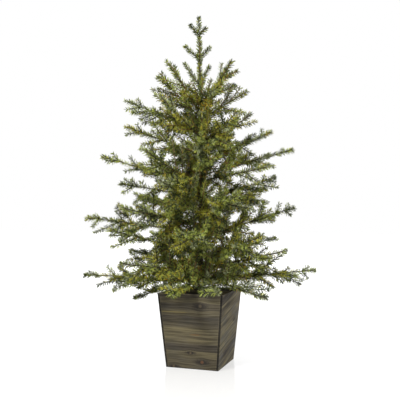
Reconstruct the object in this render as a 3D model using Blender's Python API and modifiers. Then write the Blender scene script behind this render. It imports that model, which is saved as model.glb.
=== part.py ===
"""Artificial potted spruce: moulded sprays of needles on wired boughs round a slim trunk, in a tapered wooden planter.

Metres, +Z up. The origin is at the middle of the planter's underside, and its front board faces -Y.
"""

import math
import random

import bmesh
import bpy
import numpy as np
from mathutils import Matrix, Vector

UP = Vector((0, 0, 1))

# Clearance between pieces that touch.
GAP = 0.0003

# Planter: four tapered boards round a bottom board, weighted with a fill.
PLANTER_HEIGHT = 0.250
PLANTER_TOP = 0.230
PLANTER_FOOT = 0.184
BOARD_THICKNESS = 0.007
BOARD_EDGE = 0.0008
BOTTOM_THICKNESS = 0.012
FILL_TOP = 0.214

# Trunk: a straight pole that tapers to the foot of the leading shoot.
TRUNK_FOOT_RADIUS = 0.0095
TRUNK_TIP_RADIUS = 0.0035
TRUNK_TIP = 0.925
TRUNK_SIDES = 12
LEADER_TIP = 1.203

# Limbs. A branch that reaches this far starts as a bare bough, and the others as the stem of their spray.
LONG_REACH = 0.38
BOUGH_SHARE = 0.30
BOUGH_ROOT_RADIUS = 0.0045
BOUGH_TIP_RADIUS = 0.0030
BOUGH_SIDES = 6
STEM_ROOT_RADIUS = 0.0030
STEM_TIP_RADIUS = 0.0025
STEM_SIDES = 4
STEM_OVERLAP = 0.003

# A shoot with its needles is a toothed blade. Its teeth stand for needles, larger than life.
# Across it and in thickness it is in metres, and along it in shares of its length.
BLADE_THICKNESS = 0.0016
SPINE_HALF_WIDTH = 0.0013
NOTCH_HALF_WIDTH = 0.0060
TOOTH_HALF_WIDTH = 0.0165
ROOT_DEPTH = 0.02
BARE_FOOT = 0.12
BARE_END = 0.16
TOOTH_LEAN = 0.84
TOOTH_TAPER = 0.36
TOOTH_PITCH = 0.024
FEWEST_TEETH = 2
MOST_TEETH = 3

# How shoots stand on a stem, counted from its tip inwards: the end shoot, a pair at its foot,
# then single ones to the left and right by turns, lifted out of the pair's plane.
END_SHOOT = 0.066
END_SHARE = 0.6
FIRST_SHOOT = 0.058
SHOOT_GROWTH = 0.016
LONGEST_SHOOT = 0.098
SHORTEST_SHOOT = 0.030
NARROWEST = 0.85
BROADEST = 1.40
SHOOT_SPACING = 0.047
PAIR_STAGGER = 0.006
MOST_SINGLES = 5
BARE_ROOT = 0.022

# Angles of shoots and blades, in degrees, and the spread of lengths and spacings as factors.
SHOOT_ANGLE = (35.0, 49.0)
PLANE_TILT = (-38.0, 38.0)
SINGLE_LIFT = (-15.0, 60.0)
BLADE_ROLL = (35.0, 75.0)
LENGTH_SPREAD = (0.90, 1.12)
SPACING_SPREAD = (0.90, 1.10)

# A shoot that would leave its own space is tried again at these shares of its length.
TRIM_STEPS = (1.0, 0.8, 0.62)
SPACE_MARGIN = 0.0012
EDGE_SHARES = (0.2, 0.4, 0.6, 0.8)

# The angle (radians) under which joined faces count as one flat face.
FLAT_ANGLE = 0.004

# The branches' angles are counted from the right-hand side of someone who faces the planter's
# front from this far round towards +X: 0 points right, 90 away, 180 left, 270 at them.
VIEW_TURN = 19.0

# Each branch: height on the trunk (m), angle (degrees), reach from the trunk (m), height of its tip (m).
TIERS = {
    "skirt": (
        (0.285, 178, 0.410, 0.302),
        (0.310, 160, 0.260, 0.207),
        (0.285, 3, 0.405, 0.318),
        (0.300, 310, 0.320, 0.252),
        (0.295, 254, 0.320, 0.268),
        (0.312, 281, 0.290, 0.272),
        (0.290, 100, 0.385, 0.288),
        (0.300, 55, 0.340, 0.275),
        (0.318, 222, 0.335, 0.358),
        (0.325, 146, 0.320, 0.380),
        (0.322, 331, 0.320, 0.396),
    ),
    "lower": (
        (0.375, 200, 0.322, 0.462),
        (0.450, 172, 0.412, 0.503),
        (0.430, 10, 0.340, 0.538),
        (0.358, 35, 0.350, 0.426),
        (0.365, 305, 0.330, 0.446),
        (0.400, 263, 0.345, 0.458),
        (0.400, 122, 0.380, 0.440),
        (0.440, 78, 0.380, 0.500),
    ),
    "middle": (
        (0.480, 216, 0.312, 0.532),
        (0.575, 188, 0.280, 0.618),
        (0.558, 350, 0.262, 0.640),
        (0.525, 40, 0.320, 0.612),
        (0.500, 290, 0.320, 0.568),
        (0.540, 246, 0.315, 0.618),
        (0.520, 140, 0.335, 0.592),
        (0.580, 96, 0.320, 0.662),
    ),
    "upper": (
        (0.615, 175, 0.352, 0.718),
        (0.600, 230, 0.275, 0.716),
        (0.650, 5, 0.328, 0.742),
        (0.630, 320, 0.290, 0.664),
        (0.690, 26, 0.290, 0.820),
        (0.660, 270, 0.260, 0.760),
        (0.665, 116, 0.275, 0.768),
        (0.720, 66, 0.255, 0.832),
    ),
    "crown": (
        (0.722, 192, 0.258, 0.812),
        (0.800, 165, 0.270, 0.922),
        (0.730, 335, 0.185, 0.850),
        (0.742, 299, 0.235, 0.836),
        (0.780, 221, 0.178, 0.904),
        (0.785, 98, 0.210, 0.898),
        (0.845, 15, 0.168, 0.950),
        (0.850, 155, 0.158, 1.006),
        (0.870, 205, 0.118, 1.030),
        (0.888, 345, 0.110, 1.040),
        (0.842, 284, 0.135, 0.955),
    ),
}

# The leading shoot carries three rings of side shoots: height, length, lean from upright, and each one's angle.
LEADER_RINGS = (
    (0.966, 0.085, 35.0, (176, 8, 95)),
    (1.048, 0.072, 40.0, (182, 2, 272)),
    (1.128, 0.050, 42.0, (172, 12)),
)
LEADER_END_LIFT = 0.004
LEAN_SPREAD = (-4.0, 4.0)

WOOD = (0.115, 0.100, 0.066)
DARK_FILL = (0.012, 0.009, 0.007)
BARK = (0.060, 0.040, 0.022)
NEEDLES = (0.085, 0.125, 0.035)


def clear_scene():
    for old in list(bpy.data.objects):
        bpy.data.objects.remove(old)


def material(name, colour, roughness, metallic=0.0):
    made = bpy.data.materials.new(name)
    made.use_nodes = True
    surface = made.node_tree.nodes["Principled BSDF"]
    surface.inputs["Base Color"].default_value = (*colour, 1.0)
    surface.inputs["Roughness"].default_value = roughness
    surface.inputs["Metallic"].default_value = metallic
    return made


def add_object(name, mesh, collection, finish):
    made = bpy.data.objects.new(name, mesh)
    made.data.materials.clear()
    made.data.materials.append(finish)
    collection.objects.link(made)
    return made


# Planter


def half_width(height):
    """Half of the planter's outer side at a height."""
    return (PLANTER_FOOT + (PLANTER_TOP - PLANTER_FOOT) * height / PLANTER_HEIGHT) / 2


def shaped_block(name, place, collection, finish):
    """A cube whose corners go where place(across, along, up) says, each of them -1 or 1, with softened edges."""
    mesh = bpy.data.meshes.new(name)
    shape = bmesh.new()
    bmesh.ops.create_cube(shape, size=2.0)
    for corner in shape.verts:
        corner.co = place(*corner.co)
    shape.normal_update()
    bmesh.ops.recalc_face_normals(shape, faces=shape.faces)
    shape.to_mesh(mesh)
    shape.free()
    made = add_object(name, mesh, collection, finish)
    soften = made.modifiers.new("Softened edges", "BEVEL")
    soften.width = BOARD_EDGE
    soften.segments = 1
    return made


def side_board(turn):
    """The place of a side board's corners. Its ends show at the front and the back of the planter."""

    def place(across, along, up):
        height = PLANTER_HEIGHT * (up + 1) / 2
        outer = half_width(height)
        x = outer - BOARD_THICKNESS * (1 - across) / 2
        return Vector((turn * x, outer * along, height))

    return place


def end_board(turn):
    """The place of a front or back board's corners, between the side boards."""

    def place(across, along, up):
        height = PLANTER_HEIGHT * (up + 1) / 2
        outer = half_width(height)
        y = outer - BOARD_THICKNESS * (1 - across) / 2
        return Vector(((outer - BOARD_THICKNESS - GAP) * along, turn * y, height))

    return place


def inner_block(low, high):
    """The place of the corners of a block that fills the planter from one height to another."""

    def place(across, along, up):
        height = low if up < 0 else high
        inner = half_width(height) - BOARD_THICKNESS - GAP
        return Vector((inner * across, inner * along, height))

    return place


def build_planter(collection, wood, dark):
    shaped_block("planter_right", side_board(1), collection, wood)
    shaped_block("planter_left", side_board(-1), collection, wood)
    shaped_block("planter_back", end_board(1), collection, wood)
    shaped_block("planter_front", end_board(-1), collection, wood)
    shaped_block("planter_bottom", inner_block(0.0, BOTTOM_THICKNESS), collection, wood)
    shaped_block("planter_fill", inner_block(BOTTOM_THICKNESS + GAP, FILL_TOP), collection, dark)


# Trunk and limbs


def trunk_radius(height):
    share = np.clip((height - FILL_TOP) / (TRUNK_TIP - FILL_TOP), 0.0, 1.0)
    return TRUNK_FOOT_RADIUS + (TRUNK_TIP_RADIUS - TRUNK_FOOT_RADIUS) * share


def limb_mesh(name, start, end, start_radius, end_radius, sides):
    """A tapering limb from start to end."""
    axis = end - start
    turn = axis.to_track_quat("Z", "Y").to_matrix().to_4x4()
    shape = bmesh.new()
    bmesh.ops.create_cone(
        shape,
        cap_ends=True,
        segments=sides,
        radius1=start_radius,
        radius2=end_radius,
        depth=axis.length,
        matrix=Matrix.Translation((start + end) / 2) @ turn,
    )
    mesh = bpy.data.meshes.new(name)
    shape.to_mesh(mesh)
    shape.free()
    return mesh


def build_trunk(collection, bark):
    foot = UP * (FILL_TOP + GAP)
    mesh = limb_mesh("trunk", foot, UP * TRUNK_TIP, TRUNK_FOOT_RADIUS, TRUNK_TIP_RADIUS, TRUNK_SIDES)
    add_object("trunk", mesh, collection, bark)


def branch_line(height, angle, reach, tip_height):
    """The branch's two ends: on the trunk's axis and at its tip."""
    turn = math.radians(angle + VIEW_TURN)
    return UP * height, Vector((reach * math.cos(turn), reach * math.sin(turn), tip_height))


def clear_of_trunk(root, tip, radius):
    """The first point of a limb's axis whose flat end, of this radius, clears the trunk."""
    direction = (tip - root).normalized()
    level = math.hypot(direction.x, direction.y)
    distance = (trunk_radius(root.z) + GAP + radius * abs(direction.z)) / level
    return root + direction * distance


# The shape of a shoot with its needles


def blade_template(teeth):
    """A toothed blade one unit long from 0 along +X: a flat spine whose sides and ends are drawn out to points."""
    pitch = (1.0 - BARE_FOOT - BARE_END) / teeth
    shape = bmesh.new()
    bmesh.ops.create_cube(shape, size=1.0)
    for corner in shape.verts:
        corner.co.x = BARE_FOOT if corner.co.x < 0 else 1.0 - BARE_END
        corner.co.z *= BLADE_THICKNESS
    for row in range(1, teeth):
        geometry = [*shape.verts, *shape.edges, *shape.faces]
        bmesh.ops.bisect_plane(shape, geom=geometry, plane_co=(BARE_FOOT + row * pitch, 0, 0), plane_no=(1, 0, 0))
    for corner in shape.verts:
        row = round((corner.co.x - BARE_FOOT) / pitch)
        notch = NOTCH_HALF_WIDTH * (1.0 - TOOTH_TAPER * (row - 1) / teeth)
        corner.co.y = math.copysign(notch if row else SPINE_HALF_WIDTH, corner.co.y)
    for face in list(shape.faces):
        middle = face.calc_center_median()
        if abs(middle.z) > BLADE_THICKNESS / 4:
            continue
        point = bmesh.ops.poke(shape, faces=[face])["verts"][0]
        if abs(middle.y) > SPINE_HALF_WIDTH / 2:
            tooth = int((middle.x - BARE_FOOT) / pitch)
            width = TOOTH_HALF_WIDTH * (1.0 - TOOTH_TAPER * tooth / teeth)
            point.co = (BARE_FOOT + (tooth + TOOTH_LEAN) * pitch, math.copysign(width, middle.y), 0)
        else:
            point.co = (-ROOT_DEPTH if middle.x < 0.5 else 1.0, 0, 0)
    bmesh.ops.recalc_face_normals(shape, faces=shape.faces)
    mesh = bpy.data.meshes.new("blade")
    shape.to_mesh(mesh)
    shape.free()
    return mesh


def teeth_for(length):
    return max(FEWEST_TEETH, min(MOST_TEETH, round(length / TOOTH_PITCH)))


def blade_matrix(start, direction, side, length):
    """Where a blade template goes. A longer shoot is broader too."""
    normal = direction.cross(side).normalized()
    breadth = min(max(length / END_SHOOT, NARROWEST), BROADEST)
    side = normal.cross(direction) * breadth
    turn = Matrix((direction * length, side, normal)).transposed().to_4x4()
    return Matrix.Translation(start) @ turn


# Where each branch's needles may be


def line_distances(points, start, end):
    """Distances from points to a straight segment."""
    along = end - start
    share = np.clip((points - start) @ along / (along @ along), 0.0, 1.0)
    return np.linalg.norm(points - (start + share[:, None] * along), axis=1)


def in_trunk(points):
    near = np.linalg.norm(points[:, :2], axis=1) < trunk_radius(points[:, 2]) + SPACE_MARGIN
    return near & (points[:, 2] < TRUNK_TIP + SPACE_MARGIN)


def in_planter(points):
    near = np.abs(points[:, :2]).max(axis=1) < half_width(points[:, 2]) + SPACE_MARGIN
    return near & (points[:, 2] < PLANTER_HEIGHT + SPACE_MARGIN)


def fits(points, own, lines, foot):
    """True if points lie nearer to their own branch than to any other, past its foot, clear of trunk and planter."""
    mine = line_distances(points, *lines[own])
    for other, line in enumerate(lines):
        if other != own and (line_distances(points, *line) < mine + 2 * SPACE_MARGIN).any():
            return False
    start, end = lines[own]
    direction = (end - start) / np.linalg.norm(end - start)
    if ((points - foot) @ direction < SPACE_MARGIN).any():
        return False
    return not (in_trunk(points) | in_planter(points)).any()


def test_points(mesh):
    """A mesh's corners, and points along its edges."""
    corners = np.array([corner.co for corner in mesh.vertices])
    ends = corners[np.array([edge.vertices for edge in mesh.edges])]
    between = [ends[:, 0] + (ends[:, 1] - ends[:, 0]) * share for share in EDGE_SHARES]
    return np.concatenate([corners, *between])


def placed(points, matrix):
    turn = np.array(matrix)
    return points @ turn[:3, :3].T + turn[:3, 3]


# How shoots grow


def degrees_from(rng, spread):
    return math.radians(rng.uniform(*spread))


def turned(vector, angle, axis):
    return Matrix.Rotation(angle, 3, axis) @ vector


def rolled(side, direction, rng):
    """A blade's side, rolled about its direction to one hand or the other."""
    return turned(side, degrees_from(rng, BLADE_ROLL) * rng.choice((-1, 1)), direction)


def shoots_on(start, tip, rng):
    """The shoots of one stem, by the growing rule: (start, direction, side, length) of each, the end shoot first."""
    axis = (tip - start).normalized()
    length = (tip - start).length
    level = turned(axis.cross(UP).normalized(), degrees_from(rng, PLANE_TILT), axis)
    end_length = min(END_SHOOT, length * END_SHARE)
    shoots = [(tip - axis * end_length, axis, rolled(level, axis, rng), end_length)]
    back = end_length + PAIR_STAGGER
    grown = FIRST_SHOOT
    for place in range(2 + MOST_SINGLES):
        if length - back < BARE_ROOT:
            break
        angle = degrees_from(rng, SHOOT_ANGLE)
        out = level * (1 if place % 2 else -1)
        if place > 1:
            lift = degrees_from(rng, SINGLE_LIFT)
            out = out * math.cos(lift) + UP * math.sin(lift)
        direction = (axis * math.cos(angle) + out * math.sin(angle)).normalized()
        side = rolled(axis.cross(out).cross(direction).normalized(), direction, rng)
        shoots.append((tip - axis * back, direction, side, grown * rng.uniform(*LENGTH_SPREAD)))
        if place > 0:
            back += SHOOT_SPACING * rng.uniform(*SPACING_SPREAD)
            grown = min(grown + SHOOT_GROWTH, LONGEST_SHOOT)
        else:
            back += PAIR_STAGGER
    return shoots


def leader_shoots(tip, rng):
    """The leading shoot's end and its rings of side shoots."""
    end_length = tip.z - LEADER_RINGS[-1][0] - LEADER_END_LIFT
    shoots = [(tip - UP * end_length, UP, Vector((1, 0, 0)), end_length)]
    for height, length, lean, angles in LEADER_RINGS:
        for angle in angles:
            turn = math.radians(angle + VIEW_TURN)
            out = Vector((math.cos(turn), math.sin(turn), 0))
            tilt = math.radians(lean) + degrees_from(rng, LEAN_SPREAD)
            direction = out * math.sin(tilt) + UP * math.cos(tilt)
            side = rolled(UP.cross(out), direction, rng)
            shoots.append((UP * height, direction, side, length * rng.uniform(*LENGTH_SPREAD)))
    return shoots


# Sprays


def join(stem, factory):
    """The stem and all that factory holds, as one closed mesh."""
    union = stem.modifiers.new("Joined shoots", "BOOLEAN")
    union.operation = "UNION"
    union.operand_type = "COLLECTION"
    union.collection = factory
    union.solver = "MANIFOLD"
    graph = bpy.context.evaluated_depsgraph_get()
    joined = bpy.data.meshes.new_from_object(stem.evaluated_get(graph))
    stem.modifiers.remove(union)
    shape = bmesh.new()
    shape.from_mesh(joined)
    bmesh.ops.dissolve_limit(shape, angle_limit=FLAT_ANGLE, verts=shape.verts, edges=shape.edges)
    bmesh.ops.triangulate(shape, faces=shape.faces)
    shape.to_mesh(joined)
    shape.free()
    stem.data = joined
    for used in list(factory.objects):
        bpy.data.objects.remove(used)


def build_spray(name, start, start_radius, shoots, templates, test, collection, factory, finish):
    """One mass of needles: a stem from start to the foot of its end shoot, and the shoots that keep to its space."""
    stem_end = shoots[0][0] + shoots[0][1] * STEM_OVERLAP
    stem = add_object(
        name,
        limb_mesh(name, start, stem_end, start_radius, STEM_TIP_RADIUS, STEM_SIDES),
        collection,
        finish,
    )
    for foot, direction, side, length in shoots:
        for trim in TRIM_STEPS:
            grown = length * trim
            if grown < SHORTEST_SHOOT:
                break
            mesh, points = templates[teeth_for(grown)]
            matrix = blade_matrix(foot, direction, side, grown)
            if test(placed(points, matrix)):
                blade = bpy.data.objects.new("blade", mesh.copy())
                blade.data.transform(matrix)
                factory.objects.link(blade)
                break
    join(stem, factory)
    stem.data.materials.clear()
    stem.data.materials.append(finish)


def build_branches(collection, factory, bark, needles):
    meshes = {teeth: blade_template(teeth) for teeth in range(FEWEST_TEETH, MOST_TEETH + 1)}
    templates = {teeth: (mesh, test_points(mesh)) for teeth, mesh in meshes.items()}
    rows = [(f"{tier}_{place}", row) for tier, tier_rows in TIERS.items() for place, row in enumerate(tier_rows, 1)]
    lines = [branch_line(*row) for _, row in rows]
    lines.append((UP * TRUNK_TIP, UP * LEADER_TIP))
    spaces = [(np.array(root), np.array(tip)) for root, tip in lines]

    def space_test(number, foot):
        return lambda points: fits(points, number, spaces, np.array(foot))

    for number, (label, row) in enumerate(rows):
        root, tip = lines[number]
        if row[2] >= LONG_REACH:
            foot = clear_of_trunk(root, tip, BOUGH_ROOT_RADIUS)
            knee = root + (tip - root) * BOUGH_SHARE
            mesh = limb_mesh("bough", foot, knee, BOUGH_ROOT_RADIUS, BOUGH_TIP_RADIUS, BOUGH_SIDES)
            add_object(f"bough_{label}", mesh, collection, bark)
            start = knee + (tip - knee).normalized() * GAP
        else:
            start = clear_of_trunk(root, tip, STEM_ROOT_RADIUS)
        shoots = shoots_on(start, tip, random.Random(label))
        test = space_test(number, start)
        build_spray(f"spray_{label}", start, STEM_ROOT_RADIUS, shoots, templates, test, collection, factory, needles)
    start = UP * (TRUNK_TIP + GAP)
    shoots = leader_shoots(UP * LEADER_TIP, random.Random("leader"))
    test = space_test(len(rows), start)
    build_spray("spray_leader", start, TRUNK_TIP_RADIUS, shoots, templates, test, collection, factory, needles)


def main():
    clear_scene()
    tree = bpy.data.collections.new("Artificial potted spruce")
    factory = bpy.data.collections.new("Blades")
    for collection in (tree, factory):
        bpy.context.scene.collection.children.link(collection)
    wood = material("Stained fir boards", WOOD, 0.75)
    dark = material("Dark weighted fill", DARK_FILL, 0.95)
    bark = material("Brown wrapped wire", BARK, 0.7)
    needles = material("Moulded needles", NEEDLES, 0.5)
    build_planter(tree, wood, dark)
    build_trunk(tree, bark)
    build_branches(tree, factory, bark, needles)


main()
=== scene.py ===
"""Looks of the artificial potted spruce: needles, twigs, wrapped trunk, stained fir planter, and the stage.

Metres, +Z up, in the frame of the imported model.
"""

import math
import random

import bmesh
import bpy
import numpy as np
from mathutils import Matrix, Vector


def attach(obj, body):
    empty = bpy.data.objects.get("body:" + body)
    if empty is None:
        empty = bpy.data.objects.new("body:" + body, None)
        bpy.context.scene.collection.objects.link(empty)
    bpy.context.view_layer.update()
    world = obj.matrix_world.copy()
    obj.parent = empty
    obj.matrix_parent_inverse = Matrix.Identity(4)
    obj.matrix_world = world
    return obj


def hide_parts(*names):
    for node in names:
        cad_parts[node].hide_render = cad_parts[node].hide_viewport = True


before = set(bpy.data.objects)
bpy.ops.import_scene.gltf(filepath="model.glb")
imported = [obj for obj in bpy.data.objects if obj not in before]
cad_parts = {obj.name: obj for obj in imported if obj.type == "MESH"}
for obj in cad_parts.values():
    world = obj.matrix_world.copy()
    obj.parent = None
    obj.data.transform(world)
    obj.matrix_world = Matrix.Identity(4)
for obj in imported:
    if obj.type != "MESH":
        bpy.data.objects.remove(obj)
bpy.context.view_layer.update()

UP = Vector((0, 0, 1))
ROOT = "root"
GAP = 0.0003
SMOOTH_BELOW = math.radians(35)

# Planter sizes, as the boards have them.
PLANTER_HEIGHT = 0.250
PLANTER_TOP = 0.230
PLANTER_FOOT = 0.184
BOARD_THICKNESS = 0.007
FILL_TOP = 0.214
BOTTOM_THICKNESS = 0.012
BOARD_EDGE = 0.0009
CORNER_REACH = 0.0005

# The fill's rough top: how often it is cut up, how deep it is roughed, and the level strip at its edge.
FILL_CUTS = 24
FILL_ROUGHNESS = 0.004
FILL_SMOOTHING = 0.4
FILL_EDGE = 0.002
FILL_TOP_REACH = 0.001

# Knots of each board: place along the board, height, size, and how red its heart is.
FRONT_KNOTS = (
    (0.036, 0.2120, 0.0078, 0.0),
    (0.037, 0.0255, 0.0072, 1.0),
    (-0.003, 0.0540, 0.0050, 0.1),
    (-0.064, 0.0050, 0.0060, 0.1),
)
BACK_KNOTS = (
    (-0.052, 0.1800, 0.0070, 0.6),
    (0.046, 0.0900, 0.0055, 0.2),
    (-0.020, 0.0350, 0.0035, 0.1),
)
RIGHT_KNOTS = (
    (0.050, 0.1480, 0.0050, 0.2),
    (-0.034, 0.0520, 0.0045, 0.1),
)
LEFT_KNOTS = (
    (-0.040, 0.1950, 0.0060, 0.5),
    (0.030, 0.0800, 0.0070, 0.8),
)

# Trunk and limbs.
TRUNK_FOOT_RADIUS = 0.0095
TRUNK_TIP_RADIUS = 0.0035
TRUNK_TIP = 0.925
LEADER_TIP = 1.203
LONG_REACH = 0.38
BOUGH_SHARE = 0.30
BOUGH_ROOT_RADIUS = 0.0045
STEM_ROOT_RADIUS = 0.0030
STEM_TIP_RADIUS = 0.0011
STEM_TAPER = 1.8

WRAP_RINGS = 5
WRAP_STEP = 0.10
RING_SPACING = 0.0024
LIMB_SIDES = 8
TRUNK_SIDES = 18
FEWEST_RINGS = 4

# The growing rule: the end shoot, a pair at its foot, then single ones by turns.
END_SHOOT = 0.066
END_SHARE = 0.6
FIRST_SHOOT = 0.058
SHOOT_GROWTH = 0.016
LONGEST_SHOOT = 0.098
SHOOT_SPACING = 0.047
PAIR_STAGGER = 0.006
MOST_SINGLES = 5
BARE_ROOT = 0.022
SHOOT_ANGLE = (35.0, 49.0)
PLANE_TILT = (-38.0, 38.0)
SINGLE_LIFT = (-15.0, 60.0)
BLADE_ROLL = (35.0, 75.0)
LENGTH_SPREAD = (0.90, 1.12)
SPACING_SPREAD = (0.90, 1.10)
STEM_PIECE = 0.05

# Finer growth: twigs on a long shoot, infill round the inner part of a stem, upright shoots low in the
# crown, sprigs on the trunk, and two sprigs that hang over the planter's rim.
TWIG_PLACES = (0.30, 0.38)
TWIG_SHARE = (0.42, 0.60)
TWIG_ANGLE = (34.0, 46.0)
TWIG_TURN = (-0.5, 0.5)
SHORTEST_WITH_TWIGS = 0.062
INFILL_SPACING = 0.018
INFILL_STEPS = (0.7, 1.3)
INFILL_FROM = 0.12
INFILL_TO = 0.72
INFILL_LENGTH = (0.060, 0.100)
INFILL_ANGLE = (34.0, 52.0)
INFILL_ROUND = 60.0
NEEDLED_FROM = 0.20
UPRIGHT_TIERS = ("skirt", "lower")
UPRIGHT_PLACES = (0.22, 0.40)
UPRIGHT_SHIFT = (-0.07, 0.07)
UPRIGHT_ALONG = 0.2
UPRIGHT_LENGTH = (0.075, 0.125)
UPRIGHT_LEAN = (4.0, 26.0)
RIM_CLEARANCE = 0.022
RIM_REACH = 0.200
RIM_TESTS = (0.3, 0.65, 1.0)
PLANTER_MARGIN = 0.004
SPRIG_FOOT = 0.262
SPRIG_SPACING = 0.0055
SPRIG_STEPS = (0.8, 1.2)
SPRIG_TURN = (-0.4, 0.4)
SPRIG_LENGTH = (0.060, 0.105)
SPRIG_LEAN = (25.0, 70.0)
GOLDEN_TURN = 2.39996
RIM_SPRIGS = (
    ((-0.066, -0.088, 0.288), (-0.084, -0.122, 0.262)),
    ((-0.020, 0.090, 0.286), (-0.032, 0.127, 0.250)),
)
RIM_SPRIG_RISE = 0.008

# Needles stand in tufts. Rings of a twig: share of its length, and share of its radius.
NEEDLE_LENGTH = 0.0140
STOUT_NEEDLE_LENGTH = 0.0172
STOUT_INSIDE = 1.3
NEEDLE_WIDTH = 0.0021
NEEDLE_SIZES = (0.82, 1.08)
NEEDLE_SEED = 7
SHORTER_AT_END = 0.22
NEEDLES_A_TUFT = 5
FEWEST_TUFTS = 6
TUFT_SPACING = 0.0013
TUFT_JITTER = 0.9
TUFT_SPREAD = 0.06
TUFT_TURN = 0.5
OUTER_DENSITY = 0.95
END_TUFTS = 4
END_SHARE_FROM = 0.88
NEEDLE_LEAN = 56.0
NEEDLE_LEAN_END = 34.0
LEAN_RISE = 9
NEEDLE_LEAN_SPREAD = 4.0
NEEDLE_OWN_LEAN = 2.0
NEEDLE_CREASE = 0.30
NEEDLE_WIDEST = 0.40
SHOOT_END_SETBACK = 0.008
TIP_SETBACK = 0.005
SHOOT_BEND = 0.07
MIXED_OUTSIDE = 0.35
MIXED_INSIDE = 0.18
TWIG_RADIUS = 0.0021
TWIG_RINGS = ((0.0, 1.0), (0.35, 0.9), (0.7, 0.75), (1.0, 0.45))
TWIG_SIDES = 4
MOST_NEEDLES_A_PIECE = 98000

# Camera: the photograph is 400 pixels square.
FOCAL_PIXELS = 604.25
FRAME_PIXELS = 400.0
SENSOR = 36.0
CAMERA_DISTANCE = 2.107
CAMERA_HEIGHT = 0.508
CAMERA_PITCH = 0.0265
CAMERA_SHIFT_LEFT = 0.0026
VIEW_TURN = 19.0
VIEW_RIGHT = Vector((math.cos(math.radians(VIEW_TURN)), math.sin(math.radians(VIEW_TURN)), 0))
VIEW_BACK = Vector((math.sin(math.radians(VIEW_TURN)), -math.cos(math.radians(VIEW_TURN)), 0))

# Each branch: height on the trunk, angle (degrees), reach from the trunk, height of its tip.
TIERS = {
    "skirt": (
        (0.285, 178, 0.410, 0.302), (0.310, 160, 0.260, 0.207), (0.285, 3, 0.405, 0.318),
        (0.300, 310, 0.320, 0.252), (0.295, 254, 0.320, 0.268), (0.312, 281, 0.290, 0.272),
        (0.290, 100, 0.385, 0.288), (0.300, 55, 0.340, 0.275), (0.318, 222, 0.335, 0.358),
        (0.325, 146, 0.320, 0.380), (0.322, 331, 0.320, 0.396),
    ),
    "lower": (
        (0.375, 200, 0.322, 0.462), (0.450, 172, 0.412, 0.503), (0.430, 10, 0.340, 0.538),
        (0.358, 35, 0.350, 0.426), (0.365, 305, 0.330, 0.446), (0.400, 263, 0.345, 0.458),
        (0.400, 122, 0.380, 0.440), (0.440, 78, 0.380, 0.500),
    ),
    "middle": (
        (0.480, 216, 0.312, 0.532), (0.575, 188, 0.280, 0.618), (0.558, 350, 0.262, 0.640),
        (0.525, 40, 0.320, 0.612), (0.500, 290, 0.320, 0.568), (0.540, 246, 0.315, 0.618),
        (0.520, 140, 0.335, 0.592), (0.580, 96, 0.320, 0.662),
    ),
    "upper": (
        (0.615, 175, 0.352, 0.718), (0.600, 230, 0.275, 0.716), (0.650, 5, 0.328, 0.742),
        (0.630, 320, 0.290, 0.664), (0.690, 26, 0.290, 0.820), (0.660, 270, 0.260, 0.760),
        (0.665, 116, 0.275, 0.768), (0.720, 66, 0.255, 0.832),
    ),
    "crown": (
        (0.722, 192, 0.258, 0.812), (0.800, 165, 0.270, 0.922), (0.730, 335, 0.185, 0.850),
        (0.742, 299, 0.235, 0.836), (0.780, 221, 0.178, 0.904), (0.785, 98, 0.210, 0.898),
        (0.845, 15, 0.168, 0.950), (0.850, 155, 0.158, 1.006), (0.870, 205, 0.118, 1.030),
        (0.888, 345, 0.110, 1.040), (0.842, 284, 0.135, 0.955),
    ),
}

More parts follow.
